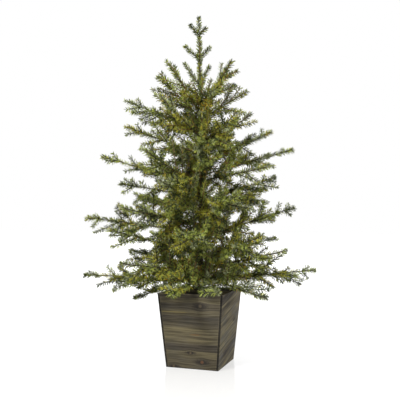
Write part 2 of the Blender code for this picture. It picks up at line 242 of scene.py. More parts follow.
# Forks that the photograph shows: share of the branch where one springs, pixel of its tip, stoutness.
FORKS = {
    "skirt_1": (
        (0.94, 83, 276, 0), (0.86, 88.5, 272, 1), (0.72, 107, 266, 0.3), (0.68, 113, 291, 0),
        (0.28, 128.5, 251, 1), (0.55, 119, 279, 1), (0.35, 134, 262, 1), (0.60, 111, 279, 0.6),
    ),
    "skirt_2": ((0.78, 134, 297, 1), (0.50, 144, 290, 1), (0.35, 153, 288, 1)),
    "skirt_3": (
        (0.94, 316, 271, 0), (0.88, 309, 265.5, 0), (0.88, 308, 279, 0), (0.70, 290, 267, 0),
        (0.70, 290.5, 279, 1), (0.42, 287, 250.5, 1), (0.50, 274, 288, 0.3), (0.62, 299, 275.5, 1),
        (0.60, 284, 282, 1), (0.75, 304, 281, 0.3), (0.30, 258, 279, 1), (0.45, 276, 268, 1),
    ),
    "skirt_4": (
        (0.80, 268, 297, 1), (0.55, 263, 285, 1), (0.45, 254, 283, 1), (0.62, 271, 289, 1),
        (0.50, 233, 288, 1), (0.35, 228, 281, 1),
    ),
    "skirt_5": (
        (0.62, 176, 287, 1), (0.50, 163, 284, 1), (0.85, 170, 293, 1), (0.75, 161, 289, 1),
        (0.40, 190, 290, 1), (0.60, 157, 287, 1),
    ),
    "skirt_6": ((0.55, 205, 289, 1), (0.50, 220, 284, 1), (0.90, 199, 293, 1), (0.80, 209, 292, 1)),
    "skirt_9": ((0.85, 119.5, 263, 1), (0.45, 139, 268, 1), (0.70, 128, 275, 1), (0.55, 139, 279, 1)),
    "skirt_11": ((0.62, 268, 246.5, 0), (0.66, 273, 257.5, 0.6)),
    "lower_1": (
        (0.90, 107.5, 230, 1), (0.80, 108.5, 235.5, 0), (0.78, 120, 243, 0), (0.60, 130, 241, 0.5),
    ),
    "lower_2": (
        (0.93, 84.5, 219, 0), (0.88, 94, 214.5, 0), (0.89, 91.5, 227.5, 0), (0.66, 115.5, 210.5, 0),
    ),
    "lower_3": (
        (0.90, 296.5, 208.5, 0), (0.90, 289, 203.5, 0), (0.90, 291, 215.5, 0), (0.80, 280, 202.5, 0),
        (0.72, 275, 221, 0), (0.62, 265, 201, 1), (0.40, 255, 209, 1),
    ),
    "lower_4": ((0.88, 279, 239, 0), (0.84, 267, 237, 0)),
    "lower_5": ((0.85, 261, 236, 1),),
    "middle_1": ((0.85, 120, 206.5, 1), (0.70, 130, 214, 1)),
    "middle_2": (
        (0.92, 119, 184, 0), (0.82, 124, 178.5, 0), (0.78, 131, 178.5, 0), (0.84, 122, 193.5, 0),
        (0.70, 141, 181, 1),
    ),
    "middle_3": (
        (0.90, 276, 177, 0), (0.86, 276, 182.5, 0), (0.82, 264.5, 175, 0), (0.55, 248, 182.5, 0),
    ),
    "middle_4": ((0.88, 265.5, 189, 1), (0.70, 261, 195, 0.5)),
    "upper_1": (
        (0.90, 100.5, 157, 0), (0.82, 112, 152.5, 0), (0.86, 106, 161, 1), (0.63, 129.5, 156, 0),
        (0.62, 124, 171.5, 0), (0.45, 152, 141, 0.5),
    ),
    "upper_2": ((0.75, 140, 148, 1), (0.80, 148.5, 142, 1), (0.45, 172, 136, 1), (0.35, 182, 141, 1)),
    "upper_3": ((0.92, 294, 151, 0), (0.85, 284, 148.5, 0), (0.68, 269, 156, 0), (0.42, 252, 154, 0)),
    "upper_4": ((0.80, 268.5, 164, 1), (0.55, 253, 180, 0), (0.60, 258, 165, 1)),
    "upper_5": ((0.90, 273, 132, 0), (0.86, 262, 128.5, 0), (0.60, 250, 135, 1)),
    "crown_1": ((0.88, 124, 126.5, 0), (0.80, 136.5, 123, 0), (0.83, 125, 134.5, 0), (0.50, 151, 130, 0)),
    "crown_2": (
        (0.86, 124, 100, 0), (0.80, 137, 98, 0), (0.82, 125, 110, 0), (0.62, 139.5, 119.5, 1),
        (0.55, 152, 107, 0),
    ),
    "crown_3": ((0.60, 241, 109.5, 1), (0.85, 252, 113, 0)),
    "crown_5": ((0.72, 154, 94, 1),),
    "crown_7": ((0.60, 241, 87, 0), (0.40, 234.5, 83.5, 1), (0.82, 248, 91, 1)),
    "crown_8": ((0.72, 156, 77, 0.4), (0.70, 160.5, 72, 1), (0.60, 157, 88, 0)),
    "crown_9": ((0.74, 165.5, 60.5, 1), (0.72, 174.5, 65, 0), (0.50, 186.5, 84, 0)),
    "crown_10": ((0.62, 221.5, 62.5, 0), (0.64, 233, 60, 1), (0.64, 237, 71, 0)),
}
RULED_TIP_SHOOTS = 3
FORK_DEPTH = 0.02
FORK_INNER = 0.10

# Places where the photograph shows sky between the branches, or the planter's bare rim: the middle's pixel,
# and the radius in pixels.
SKY_PLACES = (
    (182, 75, 4), (217, 71, 4), (157, 107, 4), (235, 106, 5), (215, 118, 3), (133, 144, 5),
    (146, 129, 4), (241, 133, 6), (258, 148, 8), (270, 146, 5), (282, 163, 6), (131, 175, 5),
    (142, 157, 4), (163, 146, 4), (175, 157, 4), (213, 155, 3), (257, 176, 5), (238, 179, 5),
    (163, 196, 4), (153, 180, 4), (114, 213, 4), (151, 232, 6), (146, 247, 4), (262, 229, 5),
    (273, 228, 5), (267, 254, 4), (277, 264, 6), (235, 261, 5), (283, 284, 5), (248, 298, 9),
    (151, 298, 6), (131, 289, 3), (148, 84, 5), (118, 173.5, 5), (132, 198, 5), (126, 247, 5),
    (110, 286, 5), (278, 144, 4), (247, 102.5, 4), (282, 221, 4), (257, 231, 4), (270, 267, 3),
    (134, 306, 6), (180, 307, 8), (195, 304, 9), (212, 301, 8), (227, 297, 9),
)
SKY_TESTS = (0.35, 0.7, 1.0)

# The leading shoot: its sway to the left, its side shoots (height of the foot, pixel of the tip), and the
# ones that stand out to its front and back (height, length, lean from upright, angle).
LEADER_SWAY = -0.006
LEADER_END = 0.075
LEADER_NEEDLED_FROM = 0.900
LEADER_PIECES = 5
LEADER_RADIUS = 0.0024
LEADER_INNER = 0.0
LEADER_STOUT = 0.1
LEADER_LAYERS = 2
LEADER_STEM_SETBACK = 0.012
LEADER_FORKS = (
    (1.142, 189.5, 24),
    (1.146, 207, 27.5),
    (1.057, 184, 45),
    (1.062, 211, 46.5),
    (0.962, 184, 62.5),
    (0.966, 210, 65),
)
LEADER_SIDES = (
    (0.966, 0.085, 35.0, 95),
    (1.048, 0.072, 40.0, 272),
)

# Needle tints: name, base colour, roughness, and how often it is dealt out inside and outside the crown.
# The grey tint is partly the needles' own grey-green and, dealt mostly outside, partly painted sheen at the
# crown's edges; the deep tint also serves as painted shade.
TINTS = (
    ("olive", (0.370, 0.355, 0.050), 0.45, 4, 1.1),
    ("leaf", (0.290, 0.335, 0.075), 0.45, 4.4, 5),
    ("deep_and_shade", (0.064, 0.084, 0.026), 0.50, 1.5, 2.4),
    ("grey", (0.285, 0.315, 0.170), 0.40, 0.6, 4.2),
    ("amber", (0.400, 0.270, 0.030), 0.45, 0.2, 0.0),
)
DEEP_AND_SHADE = 2
GREY_AND_SHEEN = 3
AMBER = 4
END_DEEP_SHARE = 0.15
# Accent shares: tufts dealt the deep tint are painted shade between the needles, and tufts dealt the grey
# tint are painted glints.
PAINTED_SHADE_SHARE = 0.20
PAINTED_GLINT_SHARE = 0.05
AMBER_SHARE = 0.04
NEEDLE_SPECULAR = 0.14

# Fir colours, and how far its grain climbs on the side boards.
FIR_DARK = (0.036, 0.030, 0.023)
FIR_LIGHT = (0.114, 0.096, 0.052)
FIR_BLUE = (0.046, 0.048, 0.048)
FIR_LINE = (0.026, 0.021, 0.015)
FIR_YELLOW = (0.180, 0.145, 0.055)
FIR_ORANGE = (0.150, 0.078, 0.030)
FIR_KNOT = (0.016, 0.013, 0.011)
FIR_HEART = (0.075, 0.058, 0.034)
FIR_RED = (0.095, 0.040, 0.020)
FIR_CUT = (0.007, 0.006, 0.004)
FIR_PALE_EDGE = (0.150, 0.130, 0.085)
FIR_SPECULAR = 0.3
SIDE_GRAIN_SLOPE = 0.20
FRONT_STREAKS = (0.56, 1.27)
SIDE_STREAKS = (0.80, 1.62)
FRONT_PATCHES = 0.22
SIDE_PATCHES = 0.45
BOARD_SHIFT = 3.7

# Heights of the front board's bands and how light each is.
FRONT_BANDS = (
    (0.000, 0.30), (0.034, 0.38), (0.040, 0.75), (0.056, 0.70), (0.062, 0.15), (0.082, 0.12),
    (0.090, 0.80), (0.134, 0.85), (0.142, 0.25), (0.174, 0.15), (0.182, 0.60), (0.196, 0.55),
    (0.201, 0.12), (0.218, 0.10), (0.223, 0.80), (0.232, 0.75), (0.237, 0.35), (0.250, 0.25),
)
BANDS_BY_PLACE = 0.78

# The yellow line's height, and where it fades along the board; the orange streak's height, middle and reach.
YELLOW_HEIGHT = 0.189
YELLOW_FADE = (0.010, -0.030)
ORANGE_HEIGHT = 0.1155
ORANGE_MIDDLE = 0.016
ORANGE_HALF = 0.026

# Colours of the fill, the tape and the twigs, and the distances from the trunk at which the last two turn.
FILL_COLOURS = ((0.006, 0.005, 0.004), (0.022, 0.017, 0.012))
TAPE_COLOURS = ((0.036, 0.023, 0.012), (0.085, 0.056, 0.030))
TAPE_OUTSIDE = (0.080, 0.065, 0.028)
TAPE_TURNS = (0.06, 0.17)
TWIG_COLOURS = ((0.075, 0.045, 0.015), (0.190, 0.110, 0.030))
# Away from the trunk the twigs turn dark olive brown: partly their own tone, and partly painted shade of the
# needles' bases.
TWIG_DARK_AND_SHADE = (0.030, 0.027, 0.013)
TWIG_TURNS = (0.09, 0.20)

# Light: the sky dome at its top and its edge, how much of it stands behind the camera, what the floor gives
# off, and the lamps (name, place, size, power, colour), all aimed at the middle of the crown.
DOME_TOP = 2.30
DOME_EDGE = 0.42
DOME_FRONT = 0.25
DOME_BEHIND = (-0.9, 0.2)
FLOOR_SIDE = 30.0
FLOOR_GREY = 0.22
FLOOR_ROUGHNESS = 0.16
FLOOR_GLOW = 0.585
FLOOR_BOUNCE = 0.12
FLOOR_FADE = (0.80, 0.90)
LAMP_AIM = Vector((0, 0, 0.6))
LAMPS = (
    ("Key", Vector((-0.9, -2.4, 2.8)), 1.0, 185.0, (1.0, 0.98, 0.93)),
    ("Fill", Vector((2.6, -1.8, 1.5)), 1.4, 66.0, (1.0, 0.98, 0.94)),
)

# Materials


class Signal:
    """What a socket of a node tree gives, to reckon with as with a number."""

    def __init__(self, socket):
        self.socket = socket
        self.tree = socket.id_data

    def maths(self, operation, other=0.0):
        return add_node(self.tree, "Math", {0: self, 1: other}, operation=operation)

    def __add__(self, other):
        return self.maths("ADD", other)

    def __sub__(self, other):
        return self.maths("SUBTRACT", other)

    def __rsub__(self, other):
        return add_node(self.tree, "Math", {0: other, 1: self}, operation="SUBTRACT")

    def __mul__(self, other):
        return self.maths("MULTIPLY", other)

    def __truediv__(self, other):
        return self.maths("DIVIDE", other)

    def __pow__(self, other):
        return self.maths("POWER", other)

    def __abs__(self):
        return self.maths("ABSOLUTE")

    def span(self, low, high, out_low=0.0, out_high=1.0, step="SMOOTHSTEP"):
        limits = {"Value": self, "From Min": low, "From Max": high, "To Min": out_low, "To Max": out_high}
        return add_node(self.tree, "MapRange", limits, interpolation_type=step)


def add_node(tree, kind, inputs=None, out=0, **settings):
    """A new node with its settings and inputs, as the signal that one of its outputs gives."""
    made = tree.nodes.new("ShaderNode" + kind)
    for name, value in settings.items():
        setattr(made, name, value)
    for key, value in (inputs or {}).items():
        connect(value, made.inputs[key])
    return Signal(made.outputs[out])


def connect(value, socket):
    """Links a signal to a socket, or sets a number, a vector or an opaque colour there."""
    if isinstance(value, Signal):
        value.tree.links.new(value.socket, socket)
    elif socket.type == "RGBA":
        socket.default_value = (*value, 1.0)
    else:
        socket.default_value = value


def blend(tree, share, first, second, mode="MIX"):
    return add_node(tree, "Mix", {0: share, 6: first, 7: second}, 2, data_type="RGBA", blend_type=mode)


def new_material(name, colour, roughness):
    """A material, its node tree, and the inputs of its shader."""
    made = bpy.data.materials.new(name)
    made.use_nodes = True
    surface = made.node_tree.nodes["Principled BSDF"].inputs
    connect(colour, surface["Base Color"])
    connect(roughness, surface["Roughness"])
    return made, made.node_tree, surface


def needle_material(name, colour, roughness):
    made, _, surface = new_material(name, colour, roughness)
    connect(NEEDLE_SPECULAR, surface["Specular IOR Level"])
    return made


def object_place(tree):
    return add_node(tree, "TexCoord", out="Object")


def noise(place, scale, detail):
    return add_node(place.tree, "TexNoise", {"Vector": place, "Scale": scale, "Detail": detail})


def roughen(surface, height, strength, distance):
    bump = add_node(height.tree, "Bump", {"Height": height, "Strength": strength, "Distance": distance})
    connect(bump, surface["Normal"])


def new_group(name, inputs, outputs):
    """A node group with number sockets: its tree, its input signals and its output sockets."""
    tree = bpy.data.node_groups.new(name, "ShaderNodeTree")
    for way, labels in (("INPUT", inputs), ("OUTPUT", outputs)):
        for label in labels:
            tree.interface.new_socket(label, in_out=way, socket_type="NodeSocketFloat")
    put_in = signals(tree.nodes.new("NodeGroupInput"))
    return tree, put_in, tree.nodes.new("NodeGroupOutput").inputs


def use_group(tree, group, inputs):
    return signals(add_node(tree, "Group", inputs, node_tree=group).socket.node)


def signals(node):
    return {socket.name: Signal(socket) for socket in node.outputs}


def streaks(along, across_grain, seed, stretch, scale, detail=3.0):
    """Noise drawn out along the grain, 0 to 1."""
    spread = {"X": along * stretch, "Y": seed, "Z": across_grain * scale}
    return noise(add_node(along.tree, "CombineXYZ", spread), 1.0, detail)


def in_sizes(along, over, size):
    """The distance that two offsets make, in sizes of the knot."""
    return (along ** 2.0 + over ** 2.0).maths("SQRT") / size


def knot_group():
    """One knot: its heart, its dark ring, and how far it pushes the grain aside."""
    tree, put_in, put_out = new_group(
        "Knot", ("Along", "Height", "Knot along", "Knot height", "Size"), ("Heart", "Ring", "Push")
    )
    away = put_in["Along"] - put_in["Knot along"]
    over = put_in["Height"] - put_in["Knot height"]
    ragged = streaks(put_in["Along"], put_in["Height"], put_in["Knot along"], 210.0, 260.0, 2.0) - 0.5
    near, wide, spread = (in_sizes(away * squeeze, over, put_in["Size"]) for squeeze in (1.05, 0.36, 0.72))
    heart = near + ragged * 0.9
    smudge = wide + ragged * 1.6
    connect(heart.span(0.95, 0.45), put_out["Heart"])
    connect(heart.span(0.35, 0.9) * smudge.span(2.0, 0.4), put_out["Ring"])
    fade = (spread ** 2.0 * -0.16).maths("EXPONENT")
    connect(over * fade * 0.62, put_out["Push"])
    return tree


def grain_group():
    """Stained fir: wide bands, fine streaks, thin dark lines and patches, drawn out along the board."""
    tree, put_in, put_out = new_group(
        "Fir grain", ("Along", "Height", "Board"), ("Bands", "Streaks", "Lines", "Patches", "Relief")
    )
    along, height, board = put_in["Along"], put_in["Height"], put_in["Board"]
    bent_height = height + (streaks(along, height, board, 9.0, 6.0, 1.0) - 0.5) * 0.006
    fine = streaks(along, bent_height, board + 7.0, 10.0, 330.0)
    dark_lines = streaks(along, bent_height, board + 13.0, 5.0, 190.0, 2.0).span(0.60, 0.72)
    connect(streaks(along, bent_height, board, 3.0, 62.0, 2.0).span(0.30, 0.70), put_out["Bands"])
    connect(fine.span(0.25, 0.75), put_out["Streaks"])
    connect(dark_lines, put_out["Lines"])
    connect(streaks(along, height, board + 21.0, 16.0, 22.0, 2.0).span(0.45, 0.68), put_out["Patches"])
    connect(fine - dark_lines * 0.8, put_out["Relief"])
    return tree


def fir_material(name, along_axis, knots, board):
    """Grey-brown stained fir: grain along the board, dark cut ends, lighter edges, a darker foot, and its
    own knots.
    """
    made, tree, surface = new_material(name, FIR_LIGHT, 0.7)
    place = object_place(tree)
    along = add_node(tree, "SeparateXYZ", {0: place}, along_axis)
    height = add_node(tree, "SeparateXYZ", {0: place}, "Z")
    on_front = name.endswith("front")
    on_side = along_axis == "Y"
    flow = height - along * SIDE_GRAIN_SLOPE if on_side else height
    hearts = 0.0
    rings = 0.0
    reds = 0.0
    for knot_along, knot_height, size, red in knots:
        knot = use_group(tree, groups["knot"], {
            "Along": along, "Height": height,
            "Knot along": knot_along, "Knot height": knot_height, "Size": size,
        })
        flow = flow - knot["Push"]
        hearts = knot["Heart"].maths("MAXIMUM", hearts)
        rings = knot["Ring"].maths("MAXIMUM", rings)
        reds = (knot["Heart"] * red).maths("MAXIMUM", reds)
    grain = use_group(tree, groups["grain"], {"Along": along, "Height": flow, "Board": board * BOARD_SHIFT})
    share = grain["Bands"]
    if on_front:
        share = front_bands(along, flow) * BANDS_BY_PLACE + share * (1.0 - BANDS_BY_PLACE)
    tone = blend(tree, share, FIR_DARK, FIR_LIGHT)
    tone = blend(tree, grain["Patches"] * (SIDE_PATCHES if on_side else FRONT_PATCHES), tone, FIR_BLUE)
    tone = blend(tree, grain["Lines"] * 0.45, tone, FIR_LINE)
    fine = grain["Streaks"].span(0.0, 1.0, *(SIDE_STREAKS if on_side else FRONT_STREAKS))
    tone = blend(tree, 1.0, tone, add_node(tree, "CombineColor", {0: fine, 1: fine, 2: fine}), "MULTIPLY")
    layers = [(rings * 0.92, FIR_KNOT), (hearts * 0.85, FIR_HEART), (reds * 0.85, FIR_RED)]
    if on_front:
        layers[:0] = [(yellow_line(along, flow), FIR_YELLOW), (orange_streak(along, flow), FIR_ORANGE)]
    normal = add_node(tree, "NewGeometry", out="Normal")
    cut = abs(add_node(tree, "SeparateXYZ", {0: normal}, along_axis)).span(0.55, 0.85)
    pale_edge = pale_edges(along, height, along_axis) * (1.0 - cut)
    # The last layer darkens each board to the cut ends' colour over its lowest 3 mm.
    layers += [(cut * 0.92, FIR_CUT), (pale_edge, FIR_PALE_EDGE), (height.span(0.0032, 0.0008) * 0.7, FIR_CUT)]
    for cover, colour in layers:
        tone = blend(tree, cover, tone, colour)
    connect(tone, surface["Base Color"])
    connect(grain["Streaks"].span(0.0, 1.0, 0.82, 0.58), surface["Roughness"])
    connect(FIR_SPECULAR, surface["Specular IOR Level"])
    roughen(surface, grain["Relief"] - rings * 0.6, 0.5, 0.0006)
    return made


def front_bands(along, height):
    """How light the front board is at a height: the bands that the photograph shows, from the foot up."""
    swayed = height + (streaks(along, height, 41.0, 11.0, 30.0, 2.0) - 0.5) * 0.007
    light = add_node(along.tree, "ValToRGB", {0: swayed / PLANTER_HEIGHT})
    ramp = light.socket.node.color_ramp
    ramp.interpolation = "EASE"
    for _ in FRONT_BANDS[2:]:
        ramp.elements.new(0.5)
    for stop, (band_height, grey) in zip(ramp.elements, FRONT_BANDS):
        stop.position = band_height / PLANTER_HEIGHT
        stop.color = (grey, grey, grey, 1)
    return light


def yellow_line(along, height):
    """A thin yellowish line from the left edge to about the middle."""
    return abs(height - YELLOW_HEIGHT).span(0.0028, 0.0006) * along.span(*YELLOW_FADE) * 0.75


def orange_streak(along, height):
    """A short orange streak right of the middle."""
    ends = abs(along - ORANGE_MIDDLE).span(ORANGE_HALF, 0.006)
    return abs(height - ORANGE_HEIGHT).span(0.0030, 0.0004) * ends * 0.65


def pale_edges(along, height, along_axis):
    """Lighter along the upright edges and the rim, in patches."""
    half = height.span(0.0, PLANTER_HEIGHT, PLANTER_FOOT / 2, PLANTER_TOP / 2, "LINEAR")
    if along_axis == "X":
        half = half - BOARD_THICKNESS
    side = (half - abs(along)).span(0.0030, 0.0006)
    rim = height.span(PLANTER_HEIGHT - 0.0022, PLANTER_HEIGHT - 0.0004)
    patchy = streaks(along, height, 77.0, 120.0, 120.0).span(0.36, 0.62, 0.10, 0.60)
    return side.maths("MAXIMUM", rim) * patchy


def fill_material():
    made, tree, surface = new_material("Dark fill", FILL_COLOURS[0], 0.9)
    clods = noise(object_place(tree), 160.0, 4.0)
    connect(blend(tree, clods.span(0.40, 0.70), *FILL_COLOURS), surface["Base Color"])
    connect(clods.span(0.3, 0.7, 0.95, 0.75), surface["Roughness"])
    roughen(surface, clods, 0.8, 0.002)
    return made


def wrapped_material():
    made, tree, surface = new_material("Brown wound tape", TAPE_COLOURS[0], 0.65)
    place = object_place(tree)
    fibres = noise(place, 420.0, 2.0)
    tone = blend(tree, noise(place, 55.0, 3.0).span(0.35, 0.65), *TAPE_COLOURS)
    tone = blend(tree, from_axis(place).span(*TAPE_TURNS), tone, TAPE_OUTSIDE)
    connect(tone, surface["Base Color"])
    connect(fibres.span(0.3, 0.7, 0.55, 0.80), surface["Roughness"])
    roughen(surface, fibres, 0.5, 0.0005)
    return made


def twig_material():
    made, tree, surface = new_material("Amber twigs", TWIG_COLOURS[0], 0.55)
    place = object_place(tree)
    tone = blend(tree, noise(place, 24.0, 2.0).span(0.38, 0.62), *TWIG_COLOURS)
    # Away from the trunk the twigs darken: partly their own tone, and partly painted shade of the needles'
    # bases.
    tone = blend(tree, from_axis(place).span(*TWIG_TURNS), tone, TWIG_DARK_AND_SHADE)
    connect(tone, surface["Base Color"])
    return made


def from_axis(place):
    """The distance from the trunk's middle line."""
    level = add_node(place.tree, "VectorMath", {0: place, 1: (1, 1, 0)}, operation="MULTIPLY")
    return add_node(place.tree, "VectorMath", {0: level}, "Value", operation="LENGTH")


# Growth


def trunk_radius(height):
    share = min(max((height - FILL_TOP) / (TRUNK_TIP - FILL_TOP), 0.0), 1.0)
    return TRUNK_FOOT_RADIUS + (TRUNK_TIP_RADIUS - TRUNK_FOOT_RADIUS) * share


def branch_line(height, angle, reach, tip_height):
    turn = math.radians(angle + VIEW_TURN)
    return UP * height, Vector((reach * math.cos(turn), reach * math.sin(turn), tip_height))


def clear_of_trunk(root, tip, radius):
    direction = (tip - root).normalized()
    level = math.hypot(direction.x, direction.y)
    distance = (trunk_radius(root.z) + GAP + radius * abs(direction.z)) / level
    return root + direction * distance


def degrees_from(rng, spread):
    return math.radians(rng.uniform(*spread))


def turned(vector, angle, axis):
    return Matrix.Rotation(angle, 3, axis) @ vector


def leaning(turn, lean):
    """The way that leans from upright by one angle, towards another angle round the trunk."""
    return Vector((math.cos(turn), math.sin(turn), 0)) * math.sin(lean) + UP * math.cos(lean)


def rolled(side, direction, rng):
    return turned(side, degrees_from(rng, BLADE_ROLL) * rng.choice((-1, 1)), direction)


def shoots_on(start, tip, rng):
    """The shoots of one stem as (start, direction, side, length), the end shoot first."""
    axis = (tip - start).normalized()
    length = (tip - start).length
    level = turned(axis.cross(UP).normalized(), degrees_from(rng, PLANE_TILT), axis)
    end_length = min(END_SHOOT, length * END_SHARE)
    shoots = [(tip - axis * end_length, axis, rolled(level, axis, rng), end_length)]
    back = end_length + PAIR_STAGGER
    grown = FIRST_SHOOT
    for place in range(2 + MOST_SINGLES):
        if length - back < BARE_ROOT:
            break
        angle = degrees_from(rng, SHOOT_ANGLE)
        out = level * (1 if place % 2 else -1)
        if place > 1:
            lift = degrees_from(rng, SINGLE_LIFT)
            out = out * math.cos(lift) + UP * math.sin(lift)
        direction = (axis * math.cos(angle) + out * math.sin(angle)).normalized()
        side = rolled(axis.cross(out).cross(direction).normalized(), direction, rng)
        shoots.append((tip - axis * back, direction, side, grown * rng.uniform(*LENGTH_SPREAD)))
        if place > 0:
            back += SHOOT_SPACING * rng.uniform(*SPACING_SPREAD)
            grown = min(grown + SHOOT_GROWTH, LONGEST_SHOOT)
        else:
            back += PAIR_STAGGER
    return shoots


def pixel_of(place):
    """The pixel of the photograph at which a place shows."""
    depth = CAMERA_DISTANCE - place.dot(VIEW_BACK)
    height = place.z - CAMERA_HEIGHT
    ahead = math.cos(CAMERA_PITCH) * depth + math.sin(CAMERA_PITCH) * height
    rise = math.cos(CAMERA_PITCH) * height - math.sin(CAMERA_PITCH) * depth
    side = place.dot(VIEW_RIGHT) + CAMERA_SHIFT_LEFT
    middle = FRAME_PIXELS / 2
    return middle + FOCAL_PIXELS * side / ahead, middle - FOCAL_PIXELS * rise / ahead


def seen_at(column, line, toward):
    """The place that shows at a pixel of the photograph, at a distance in front of the trunk."""
    depth = CAMERA_DISTANCE - toward
    rise = (FRAME_PIXELS / 2 - line) / FOCAL_PIXELS
    cosine = math.cos(CAMERA_PITCH)
    sine = math.sin(CAMERA_PITCH)
    height = depth * (rise * cosine + sine) / (cosine - rise * sine)
    side = (column - FRAME_PIXELS / 2) / FOCAL_PIXELS * (cosine * depth + sine * height)
    return VIEW_RIGHT * (side - CAMERA_SHIFT_LEFT) + VIEW_BACK * toward + UP * (height + CAMERA_HEIGHT)


def shoot_to(foot, column, line, toward, inner, stout):
    """A shoot from its foot to the place that shows at a pixel."""
    end = seen_at(column, line, toward)
    end -= UP * SHOOT_BEND * (end - foot).length
    return foot, (end - foot).normalized(), (end - foot).length - TIP_SETBACK, inner, stout


def forks(label, root, tip, rng):
    """The shoots that the photograph shows on one branch."""
    made = []
    for share, column, line, stout in FORKS.get(label, ()):
        foot = root + (tip - root) * share
        toward = foot.dot(VIEW_BACK) + rng.uniform(-FORK_DEPTH, FORK_DEPTH)
        made.append(shoot_to(foot, column, line, toward, FORK_INNER, float(stout)))
    return made


def leader_place(height):
    """The leading shoot's middle line."""
    share = (height - TRUNK_TIP) / (LEADER_TIP - TRUNK_TIP)
    return UP * height + VIEW_RIGHT * LEADER_SWAY * math.sqrt(max(share, 0.0))


def leader_shoots():
    """The leading shoot's needled pieces, its end and its side shoots."""
    feet = np.linspace(LEADER_NEEDLED_FROM, LEADER_TIP - LEADER_END, LEADER_PIECES + 1)
    heights = [*feet, LEADER_TIP - TIP_SETBACK]
    made = []
    for low, high in list(zip(heights[:-1], heights[1:])) * LEADER_LAYERS:
        foot = leader_place(low)
        way = leader_place(high) - foot
        made.append((foot, way.normalized(), way.length, LEADER_INNER, LEADER_STOUT))
    for height, column, line in LEADER_FORKS * LEADER_LAYERS:
        made.append(shoot_to(leader_place(height), column, line, 0.0, LEADER_INNER, LEADER_STOUT))
    for height, length, lean, angle in LEADER_SIDES:
        way = leaning(math.radians(angle + VIEW_TURN), math.radians(lean))
        made.append((leader_place(height), way, length, LEADER_INNER, LEADER_STOUT))
    return made


def side_twigs(foot, direction, side, length, rng):
    """A twig to either side of a long shoot."""
    twigs = []
    for turn, place in zip((-1, 1), TWIG_PLACES):
        angle = degrees_from(rng, TWIG_ANGLE)
        out = turned(side, rng.uniform(*TWIG_TURN), direction) * turn
        way = direction * math.cos(angle) + out * math.sin(angle)
        twigs.append((foot + direction * length * place, way, length * rng.uniform(*TWIG_SHARE)))
    return twigs


def infill(start, tip, rng):
    """Shoots that stand all round the inner part of a stem."""
    axis = (tip - start).normalized()
    length = (tip - start).length
    level = axis.cross(UP).normalized()
    made = []
    along = length * INFILL_FROM
    while along < length * INFILL_TO:
        angle = degrees_from(rng, INFILL_ANGLE)
        out = turned(level, math.pi / 2 + math.radians(rng.gauss(0, INFILL_ROUND)), axis)
        direction = axis * math.cos(angle) + out * math.sin(angle)
        made.append((start + axis * along, direction, rng.uniform(*INFILL_LENGTH)))
        along += INFILL_SPACING * rng.uniform(*INFILL_STEPS)
    return made


def uprights(start, tip, rng):
    """Shoots that rise from the inner part of a low stem."""
    axis = (tip - start).normalized()
    made = []
    for place in UPRIGHT_PLACES:
        foot = start + (tip - start) * (place + rng.uniform(*UPRIGHT_SHIFT))
        turn = rng.uniform(0, 2 * math.pi)
        lean = degrees_from(rng, UPRIGHT_LEAN)
        way = leaning(turn, lean) + axis * UPRIGHT_ALONG
        made.append((foot, way.normalized(), rng.uniform(*UPRIGHT_LENGTH)))
    return made


def rim_sprigs():
    """Sprigs that grow out from the trunk's foot and hang over the rim."""
    made = []
    for knee, end in RIM_SPRIGS:
        knee = Vector(knee)
        end = Vector(end)
        foot = UP * (knee.z - RIM_SPRIG_RISE)
        made.append((foot, (knee - foot).normalized(), (knee - foot).length, 1.0, 0.5))
        made.append((knee, (end - knee).normalized(), (end - knee).length, 0.5, 1.0))
    return made


def trunk_sprigs(rng):
    """Sprigs that stand all round the trunk and hide it."""
    made = []
    height = SPRIG_FOOT
    number = 0
    while height < TRUNK_TIP:
        turn = number * GOLDEN_TURN + rng.uniform(*SPRIG_TURN)
        way = leaning(turn, degrees_from(rng, SPRIG_LEAN))
        foot = UP * height + leaning(turn, math.pi / 2) * trunk_radius(height)
        made.append((foot, way, rng.uniform(*SPRIG_LENGTH), 1.0, 1.0))
        height += SPRIG_SPACING * rng.uniform(*SPRIG_STEPS)
        number += 1
    return made


def half_width(height):
    return (PLANTER_FOOT + (PLANTER_TOP - PLANTER_FOOT) * height / PLANTER_HEIGHT) / 2


def in_planter(point):
    beside = max(abs(point.x), abs(point.y)) - half_width(point.z)
    return max(point.z - PLANTER_HEIGHT, beside) < PLANTER_MARGIN


def clear(foot, direction, length):
    """True if a shoot keeps out of the planter and doesn't hang over its rim."""
    end = foot + direction * length
    if end.z < PLANTER_HEIGHT + RIM_CLEARANCE and math.hypot(end.x, end.y) < RIM_REACH:
        return False
    return not any(in_planter(foot + direction * length * share) for share in RIM_TESTS)


def in_sky(foot, direction, length):
    """True if a shoot would cover a place where the photograph shows sky."""
    for share in SKY_TESTS:
        column, line = pixel_of(foot + direction * length * share)
        for middle_column, middle_line, radius in SKY_PLACES:
            if math.hypot(column - middle_column, line - middle_line) < radius:
                return True
    return False


